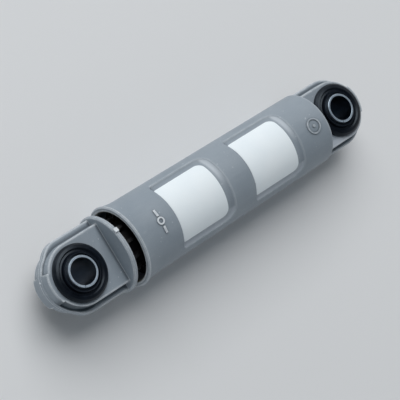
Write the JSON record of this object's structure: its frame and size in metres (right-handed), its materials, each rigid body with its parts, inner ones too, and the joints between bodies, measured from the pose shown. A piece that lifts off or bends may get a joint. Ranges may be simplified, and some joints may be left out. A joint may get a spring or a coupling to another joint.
{
  "type": "washing machine shock absorber",
  "caption": "Friction damper with a closed plastic tube, a plunger with a stop disc, and a rubber-bushed eye at each end, drawn nearly closed.",
  "frame": {"origin": "Centre of the bore in the housing's eye, midway along its steel sleeve.", "axes": "+X along the damper from the housing's eye to the plunger's eye; +Z along both eye bores, towards the side with the labels; +Y completes the set."},
  "size_m": [0.2128, 0.043, 0.043],
  "materials": {
    "body_plastic": "moulded, soft sheen",
    "cage_plastic": "moulded, satin",
    "lining_foam": "greased foam",
    "ring_plastic": "natural, satin",
    "rubber": "moulded, satin",
    "sleeve_steel": "zinc plated, satin",
    "label": "glossy, blank"
  },
  "bodies": {
    "housing_body": {"housing": "body_plastic", "guide_cage": "cage_plastic", "friction_lining": "lining_foam", "end_buffer": "rubber", "housing_bush_rubber": "rubber", "front_label": "label", "rear_label": "label"},
    "ring_body": {"glide_ring": "ring_plastic"},
    "plunger_body": {"plunger": "body_plastic", "plunger_bush_rubber": "rubber"},
    "housing_sleeve_body": {"housing_bush_sleeve": "sleeve_steel"},
    "plunger_sleeve_body": {"plunger_bush_sleeve": "sleeve_steel"}
  },
  "joints": [
    {"name": "plunger_slide", "type": "slide", "parent": "housing_body", "child": "ring_body", "axis": [1, 0, 0], "range_m": [-0.0055, 0.0767]},
    {"name": "plunger_turn", "type": "hinge", "parent": "ring_body", "child": "plunger_body", "pos_m": [0, 0, 0], "axis": [1, 0, 0], "continuous": true},
    {"name": "housing_bush_twist", "type": "hinge", "parent": "housing_body", "child": "housing_sleeve_body", "pos_m": [0, 0, 0], "axis": [0, 0, 1], "range_deg": [-15, 15], "stiffness_Nm_per_rad": 4},
    {"name": "plunger_bush_twist", "type": "hinge", "parent": "plunger_body", "child": "plunger_sleeve_body", "pos_m": [0.178, 0, 0], "axis": [0, 0, 1], "range_deg": [-15, 15], "stiffness_Nm_per_rad": 4}
  ]
}
